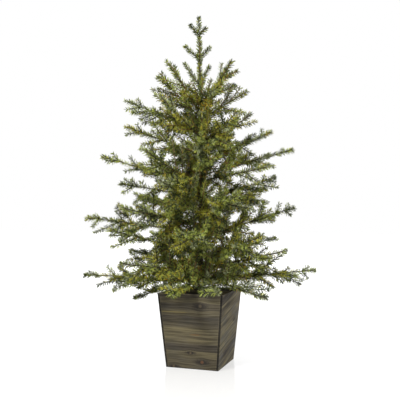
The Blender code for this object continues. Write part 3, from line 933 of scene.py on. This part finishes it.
def grow_branch(label, row, rising):
    """One branch: its stem as (start, end, start radius, end radius), and its shoots."""
    root, tip = branch_line(*row)
    long = row[2] >= LONG_REACH
    radius = BOUGH_ROOT_RADIUS if long else STEM_ROOT_RADIUS
    start = clear_of_trunk(root, tip, radius)
    spray_start = root + (tip - root) * BOUGH_SHARE if long else start
    main = shoots_on(spray_start, tip, random.Random(label))
    finer = random.Random(label + " finer")
    reach = (tip - start).length
    shoots = []

    def add(foot, direction, length, at_end=False):
        inner = min(max(1.0 - (foot - start).length / reach, 0.0), 1.0)
        if at_end or clear(foot, direction, length) and not in_sky(foot, direction, length):
            shoots.append((foot, direction, length, inner, min(inner * STOUT_INSIDE, 1.0)))

    for number, (foot, direction, side, length) in enumerate(main):
        twigs = side_twigs(foot, direction, side, length, finer)
        if label in FORKS and 0 < number <= RULED_TIP_SHOOTS:
            continue
        add(foot, direction, length - (SHOOT_END_SETBACK if number else TIP_SETBACK), number == 0)
        if number > 2 and length > SHORTEST_WITH_TWIGS:
            for twig in twigs:
                add(*twig)
    for shoot in infill(start, tip, finer) + (uprights(start, tip, finer) if rising else []):
        add(*shoot)
    end_foot = main[0][0]
    needled = (end_foot - start).length * (1.0 - NEEDLED_FROM)
    pieces = max(round(needled / STEM_PIECE), 1)
    axis = (tip - start).normalized()
    for step in range(pieces):
        foot = end_foot - axis * needled * (1.0 - step / pieces)
        shoots.append((foot, axis, needled / pieces, 1.0 - (foot - start).length / reach, 0.0))
    shoots.extend(forks(label, root, tip, finer))
    return (start, tip, radius, STEM_TIP_RADIUS), shoots


def grow():
    """All stems, and all shoots as (foot, direction, length, inner share, stoutness)."""
    stems = []
    shoots = []
    for tier, rows in TIERS.items():
        for place, row in enumerate(rows, 1):
            stem, grown = grow_branch(f"{tier}_{place}", row, tier in UPRIGHT_TIERS)
            stems.append(stem)
            shoots.extend(grown)
    shoots.extend(trunk_sprigs(random.Random("sprigs")))
    shoots.extend(rim_sprigs())
    shoots.extend(leader_shoots())
    knee = leader_place(LEADER_TIP - LEADER_END)
    stems.append((UP * TRUNK_TIP, knee, TRUNK_TIP_RADIUS, LEADER_RADIUS))
    stems.append((knee, leader_place(LEADER_TIP - LEADER_STEM_SETBACK), LEADER_RADIUS, STEM_TIP_RADIUS))
    return stems, shoots


# Meshes from arrays


def mesh_from_arrays(name, points, triangles):
    mesh = bpy.data.meshes.new(name)
    mesh.vertices.add(len(points))
    mesh.vertices.foreach_set("co", points.astype(np.float32).ravel())
    mesh.loops.add(triangles.size)
    mesh.loops.foreach_set("vertex_index", triangles.astype(np.int32).ravel())
    mesh.polygons.add(len(triangles))
    mesh.polygons.foreach_set("loop_start", np.arange(0, triangles.size, 3, dtype=np.int32))
    mesh.polygons.foreach_set("loop_total", np.full(len(triangles), 3, dtype=np.int32))
    mesh.update(calc_edges=True)
    return mesh


def add_piece(mesh, finish, slot, *nodes):
    piece = bpy.data.objects.new(mesh.name, mesh)
    bpy.context.scene.collection.objects.link(piece)
    enter(piece, finish, slot, *nodes)


def enter(piece, finish, slot, *nodes):
    """Gives a piece its one material, hangs it from the root body, and hides the parts of the model that it
    stands for.
    """
    piece.data.materials.clear()
    piece.data.materials.append(finish)
    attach(piece, ROOT)
    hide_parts(*nodes)


def across(directions):
    """Two unit vectors square to each direction."""
    helper = np.where(np.abs(directions[:, 2:]) < 0.9, [[0.0, 0.0, 1.0]], [[1.0, 0.0, 0.0]])
    first = np.cross(directions, helper)
    first /= np.linalg.norm(first, axis=1, keepdims=True)
    return first, np.cross(directions, first)


def bent(feet, ways, lengths, share):
    """The point at a share of a shoot's length, with the shoot bending upwards."""
    points = feet + ways * (lengths * share)[:, None]
    points[:, 2] += SHOOT_BEND * lengths * share ** 2
    return points


def shoot_arrays(shoots):
    feet, ways, lengths, inner, stout = (np.array(values) for values in zip(*shoots))
    ways /= np.linalg.norm(ways, axis=1, keepdims=True)
    return feet, ways, lengths, inner, stout


def needle_arrays(shoots):
    """Corners of all needles, (count, 4, 3), and each one's tint. A needle is a kite with a crease."""
    rng = np.random.default_rng(NEEDLE_SEED)
    feet, ways, lengths, inner, stout = shoot_arrays(shoots)
    density = OUTER_DENSITY + (1.0 - OUTER_DENSITY) * stout
    along = np.maximum((lengths / TUFT_SPACING * density).astype(int), FEWEST_TUFTS)
    tufts = along + END_TUFTS
    own_shoot = np.repeat(np.arange(len(shoots)), tufts)
    number = np.arange(len(own_shoot)) - np.repeat(np.cumsum(tufts) - tufts, tufts)
    tuft_share = (number + 0.5 + rng.normal(0, 1, len(own_shoot)) * TUFT_JITTER) / along[own_shoot]
    at_end = number >= along[own_shoot]
    tuft_share[at_end] = rng.uniform(END_SHARE_FROM, 1.0, at_end.sum())
    tuft_share = np.clip(tuft_share, 0.0, 1.0)
    tuft_turn = number * GOLDEN_TURN + rng.uniform(-TUFT_TURN, TUFT_TURN, len(own_shoot))
    near_tip = tuft_share ** LEAN_RISE
    tuft_lean = NEEDLE_LEAN + (NEEDLE_LEAN_END - NEEDLE_LEAN) * near_tip
    tuft_lean += rng.normal(0, 1, len(own_shoot)) * NEEDLE_LEAN_SPREAD * (1 + near_tip)
    tuft = np.repeat(np.arange(len(own_shoot)), NEEDLES_A_TUFT)
    own = own_shoot[tuft]
    share = tuft_share[tuft]
    first, second = (vector[own] for vector in across(ways))
    turn = tuft_turn[tuft] + rng.normal(0, 1, len(own)) * TUFT_SPREAD
    out = first * np.cos(turn)[:, None] + second * np.sin(turn)[:, None]
    lean = np.radians(tuft_lean[tuft] + rng.normal(0, 1, len(own)) * NEEDLE_OWN_LEAN)[:, None]
    needle = ways[own] * np.cos(lean) + out * np.sin(lean)
    size = NEEDLE_LENGTH + (STOUT_NEEDLE_LENGTH - NEEDLE_LENGTH) * stout[own]
    size *= (1.0 - SHORTER_AT_END * share ** 4) * rng.uniform(*NEEDLE_SIZES, len(own))
    size = size[:, None]
    foot = bent(feet[own], ways[own], lengths[own], share) + out * TWIG_RADIUS * 0.5
    flat = np.cross(needle, out)
    flat /= np.linalg.norm(flat, axis=1, keepdims=True)
    face = np.cross(needle, flat)
    roll = rng.uniform(0, 2 * np.pi, len(own))[:, None]
    half = (flat * np.cos(roll) + face * np.sin(roll)) * NEEDLE_WIDTH / 2
    middle = foot + needle * size * NEEDLE_WIDEST + np.cross(needle, half) * 2 * NEEDLE_CREASE
    corners = np.stack([foot, middle + half, foot + needle * size, middle - half], axis=1)
    tints = deal_tints(rng, own_shoot, inner)
    tints[at_end & (rng.random(len(tints)) < END_DEEP_SHARE)] = DEEP_AND_SHADE
    return corners, tints[tuft]


def deal_tints(rng, own_shoot, inner):
    """The tint of each tuft: mostly its shoot's own, and otherwise one dealt out by the same odds."""
    weights = np.array([[inside, outside] for _, _, _, inside, outside in TINTS], dtype=float)
    weights /= weights.sum(axis=0)
    odds = inner[:, None] * weights[:, 0] + (1 - inner)[:, None] * weights[:, 1]
    bounds = np.cumsum(odds, axis=1)
    main = (rng.random(len(inner))[:, None] > bounds).sum(axis=1)
    mixed = (rng.random(len(own_shoot))[:, None] > bounds[own_shoot]).sum(axis=1)
    mixing = (MIXED_OUTSIDE + (MIXED_INSIDE - MIXED_OUTSIDE) * inner)[own_shoot]
    chosen = np.where(rng.random(len(own_shoot)) < mixing, mixed, main[own_shoot])
    chosen = np.minimum(chosen, len(TINTS) - 1)
    # Accents: deep tufts are painted shade between the needles, grey tufts are painted glints, and amber
    # ones are the needles' own tint.
    accent = rng.random(len(own_shoot))
    chosen[accent < PAINTED_SHADE_SHARE] = DEEP_AND_SHADE
    chosen[accent > 1 - PAINTED_GLINT_SHARE] = GREY_AND_SHEEN
    chosen[accent > 1 - AMBER_SHARE * inner[own_shoot]] = AMBER
    return chosen


def tube_arrays(paths, radii):
    """Corners and triangles of closed tubes: paths (count, rings, 3), radii (count, rings, sides)."""
    count, rings, sides = radii.shape
    ways = paths[:, -1] - paths[:, 0]
    ways /= np.linalg.norm(ways, axis=1, keepdims=True)
    first, second = across(ways)
    turn = np.arange(sides) * 2 * np.pi / sides
    out = first[:, None] * np.cos(turn)[None, :, None] + second[:, None] * np.sin(turn)[None, :, None]
    corners = paths[:, :, None, :] + out[:, None] * radii[..., None]
    near = np.arange(sides)
    far = (near + 1) % sides
    band = np.concatenate([
        np.stack([near, far, far + sides], axis=1),
        np.stack([near, far + sides, near + sides], axis=1),
    ])
    walls = (np.arange(rings - 1)[:, None, None] * sides + band[None]).reshape(-1, 3)
    fan = np.arange(1, sides - 1)
    last = (rings - 1) * sides
    caps = np.concatenate([
        np.stack([np.zeros_like(fan), fan + 1, fan], axis=1),
        np.stack([np.full_like(fan, last), fan + last, fan + 1 + last], axis=1),
    ])
    pattern = np.concatenate([walls, caps])
    triangles = (np.arange(count)[:, None, None] * rings * sides + pattern[None]).reshape(-1, 3)
    return corners.reshape(-1, 3), triangles


def wrapped(radii, sides):
    """Radii (rings, sides) of a limb wound with tape: a low spiral step all the way up."""
    turn = (np.arange(len(radii))[:, None] / WRAP_RINGS + np.arange(sides)[None] / sides) % 1.0
    return np.asarray(radii)[:, None] * (1.0 + WRAP_STEP * (turn - 0.5) - WRAP_STEP * 0.5)


# Pieces


def nodes_named(start):
    return [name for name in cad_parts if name.startswith(start)]


def build_needles(shoots):
    corners, tints = needle_arrays(shoots)
    pattern = np.array([[0, 1, 2], [0, 2, 3]])
    for tint, (name, colour, roughness, _, _) in enumerate(TINTS):
        finish = needle_material(f"Moulded needles {name}", colour, roughness)
        own = corners[tints == tint]
        for part, low in enumerate(range(0, len(own), MOST_NEEDLES_A_PIECE), 1):
            some = own[low:low + MOST_NEEDLES_A_PIECE]
            triangles = (np.arange(len(some))[:, None, None] * 4 + pattern).reshape(-1, 3)
            mesh = mesh_from_arrays(f"needles_{name}_{part}", some.reshape(-1, 3), triangles)
            add_piece(mesh, finish, "needles", *nodes_named("spray_"))


def build_twigs(shoots, finish):
    feet, ways, lengths, _, _ = shoot_arrays(shoots)
    shares, taper = np.array(TWIG_RINGS).T
    paths = np.stack([bent(feet, ways, lengths, np.full(len(feet), share)) for share in shares], axis=1)
    radii = np.broadcast_to(TWIG_RADIUS * taper[None, :, None], (len(feet), len(shares), TWIG_SIDES))
    mesh = mesh_from_arrays("twigs", *tube_arrays(paths, radii))
    add_piece(mesh, finish, "needles", *nodes_named("spray_"))


def build_limbs(stems, finish):
    """Boughs and stems in one joined piece, each wound with tape."""
    corners = []
    triangles = []
    total = 0
    for start, end, start_radius, end_radius in stems:
        rings = max(int((end - start).length / RING_SPACING), FEWEST_RINGS)
        share = np.linspace(0.0, 1.0, rings)
        path = np.array(start)[None] * (1 - share)[:, None] + np.array(end)[None] * share[:, None]
        radii = wrapped(end_radius + (start_radius - end_radius) * (1 - share) ** STEM_TAPER, LIMB_SIDES)
        some, faces = tube_arrays(path[None], radii[None])
        corners.append(some)
        triangles.append(faces + total)
        total += len(some)
    mesh = mesh_from_arrays("wrapped_boughs", np.concatenate(corners), np.concatenate(triangles))
    add_piece(mesh, finish, "bark", *nodes_named("bough_"))


def build_trunk(finish):
    heights = np.arange(FILL_TOP + GAP, TRUNK_TIP, RING_SPACING)
    path = np.stack([np.zeros_like(heights), np.zeros_like(heights), heights], axis=1)
    radii = wrapped([trunk_radius(height) for height in heights], TRUNK_SIDES)
    mesh = mesh_from_arrays("wrapped_trunk", *tube_arrays(path[None], radii[None]))
    add_piece(mesh, finish, "bark", "trunk")


def start_edit(piece):
    bpy.context.view_layer.objects.active = piece
    bpy.ops.object.mode_set(mode="EDIT")
    bpy.ops.mesh.select_mode(type="VERT")
    bpy.ops.mesh.select_all(action="DESELECT")
    return bmesh.from_edit_mesh(piece.data)


def select_corners(piece, shape, wanted):
    for corner in shape.verts:
        corner.select_set(wanted(corner.co))
    shape.select_flush(True)
    bmesh.update_edit_mesh(piece.data)


def add_block(name, size, centre):
    bpy.ops.object.select_all(action="DESELECT")
    bpy.ops.mesh.primitive_cube_add(size=1.0, location=centre, scale=size)
    bpy.ops.object.transform_apply(location=True, rotation=True, scale=True)
    piece = bpy.context.object
    piece.name = name
    piece.data.name = name
    return piece


def taper_foot(piece, low, narrow, move):
    """Narrows the corners at a height, and leans them in."""
    shape = start_edit(piece)
    select_corners(piece, shape, lambda place: abs(place.z - low) < CORNER_REACH)
    bpy.ops.transform.resize(value=narrow, center_override=(0, 0, low))
    bpy.ops.transform.translate(value=move)


def leave_edit():
    """Turns all faces outward, leaves edit mode, and shades all but the sharp edges smooth."""
    bpy.ops.mesh.select_all(action="SELECT")
    bpy.ops.mesh.normals_make_consistent(inside=False)
    bpy.ops.object.mode_set(mode="OBJECT")
    bpy.ops.object.shade_smooth_by_angle(angle=SMOOTH_BELOW)


def build_board(name, size, place, narrow, move, along_axis, knots, board):
    """One board: a block that narrows to its foot, leans in, and has soft edges."""
    piece = add_block(f"{name}_board", size, place)
    taper_foot(piece, 0.0, narrow, move)
    bpy.ops.mesh.select_all(action="SELECT")
    bpy.ops.mesh.bevel(offset=BOARD_EDGE, segments=3, affect="EDGES")
    leave_edit()
    enter(piece, fir_material(f"Stained fir {name}", along_axis, knots, board), "boards", f"planter_{name}")


def build_planter():
    top = half_width(PLANTER_HEIGHT)
    foot = half_width(0.0)
    middle = top - BOARD_THICKNESS / 2
    lean = top - foot
    between = top - BOARD_THICKNESS - GAP
    narrow = (foot - BOARD_THICKNESS - GAP) / between
    half = PLANTER_HEIGHT / 2
    for name, turn, knots in (("front", -1, FRONT_KNOTS), ("back", 1, BACK_KNOTS)):
        size = (between * 2, BOARD_THICKNESS, PLANTER_HEIGHT)
        place = (0, turn * middle, half)
        build_board(name, size, place, (narrow, 1, 1), (0, -turn * lean, 0), "X", knots, turn)
    for name, turn, knots in (("right", 1, RIGHT_KNOTS), ("left", -1, LEFT_KNOTS)):
        size = (BOARD_THICKNESS, top * 2, PLANTER_HEIGHT)
        place = (turn * middle, 0, half)
        build_board(name, size, place, (1, foot / top, 1), (-turn * lean, 0, 0), "Y", knots, turn)
    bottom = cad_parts["planter_bottom"].data
    bottom.materials.clear()
    bottom.materials.append(fir_material("Stained fir bottom", "X", (), 3))
    build_fill()


def build_fill():
    low = BOTTOM_THICKNESS + GAP
    high = FILL_TOP
    wide = half_width(high) - BOARD_THICKNESS - GAP
    slim = half_width(low) - BOARD_THICKNESS - GAP
    fill = add_block("lumpy_fill", (wide * 2, wide * 2, high - low), (0, 0, (high + low) / 2))
    taper_foot(fill, low, (slim / wide, slim / wide, 1), (0, 0, 0))
    upper = high - FILL_TOP_REACH
    inside = wide - FILL_EDGE
    select_corners(fill, bmesh.from_edit_mesh(fill.data), lambda place: place.z > upper)
    bpy.ops.mesh.subdivide(number_cuts=FILL_CUTS)
    select_corners(
        fill,
        bmesh.from_edit_mesh(fill.data),
        lambda place: place.z > upper and max(abs(place.x), abs(place.y)) < inside,
    )
    bpy.ops.transform.vertex_random(offset=FILL_ROUGHNESS, uniform=0.0, normal=0.0, seed=3)
    bpy.ops.mesh.vertices_smooth(factor=FILL_SMOOTHING, repeat=1)
    leave_edit()
    enter(fill, fill_material(), "fill", "planter_fill")


# Stage


def build_camera():
    data = bpy.data.cameras.new("Camera")
    data.sensor_width = SENSOR
    data.lens = SENSOR * FOCAL_PIXELS / FRAME_PIXELS
    data.clip_start = 0.05
    data.clip_end = 50.0
    camera = bpy.data.objects.new("Camera", data)
    camera.location = VIEW_BACK * CAMERA_DISTANCE - VIEW_RIGHT * CAMERA_SHIFT_LEFT + UP * CAMERA_HEIGHT
    camera.rotation_euler = (math.pi / 2 + CAMERA_PITCH, 0, math.radians(VIEW_TURN))
    bpy.context.scene.collection.objects.link(camera)
    bpy.context.scene.camera = camera


def build_lamps():
    for name, place, size, power, colour in LAMPS:
        data = bpy.data.lights.new(name, "AREA")
        data.shape = "DISK"
        data.size = size
        data.energy = power
        data.color = colour
        lamp = bpy.data.objects.new(name, data)
        lamp.location = place
        lamp.rotation_euler = (LAMP_AIM - place).to_track_quat("-Z", "Y").to_euler()
        bpy.context.scene.collection.objects.link(lamp)


def seen_or_cast(tree, cast, seen):
    """One strength for the light that is cast, and another for the camera's own sight."""
    return add_node(tree, "Mix", {0: add_node(tree, "LightPath", out="Is Camera Ray"), 2: cast, 3: seen})


def build_floor():
    bpy.ops.mesh.primitive_plane_add(size=FLOOR_SIDE, location=(0, 0, 0))
    floor = bpy.context.object
    floor.name = "Floor"
    finish, tree, surface = new_material("Pale floor", (FLOOR_GREY,) * 3, FLOOR_ROUGHNESS)
    connect((1.0, 1.0, 1.0), surface["Emission Color"])
    seen = add_node(tree, "LayerWeight", {"Blend": 0.5}, "Facing").span(*FLOOR_FADE, FLOOR_GLOW, 1.0)
    connect(seen_or_cast(tree, FLOOR_BOUNCE, seen), surface["Emission Strength"])
    floor.data.materials.append(finish)


def build_sky():
    """White to the camera, and for light a soft dome, brightest overhead and dimmer behind the camera."""
    world = bpy.data.worlds.new("Studio")
    world.use_nodes = True
    tree = world.node_tree
    background = tree.nodes["Background"].inputs
    connect((1.0, 1.0, 1.0), background["Color"])
    way = add_node(tree, "TexCoord", out="Generated")
    dome = add_node(tree, "SeparateXYZ", {0: way}, "Z").span(0.0, 1.0, DOME_EDGE, DOME_TOP, "LINEAR")
    front = add_node(tree, "SeparateXYZ", {0: way}, "Y").span(*DOME_BEHIND, DOME_FRONT, 1.0)
    connect(seen_or_cast(tree, dome * front, 1.0), background["Strength"])
    bpy.context.scene.world = world
    bpy.context.scene.view_settings.view_transform = "Standard"


groups = {"knot": knot_group(), "grain": grain_group()}

bpy.ops.object.select_all(action="DESELECT")
build_camera()
build_floor()
build_sky()
build_lamps()
stems, shoots = grow()
bark = wrapped_material()
build_trunk(bark)
build_limbs(stems, bark)
build_twigs(shoots, twig_material())
build_needles(shoots)
build_planter()
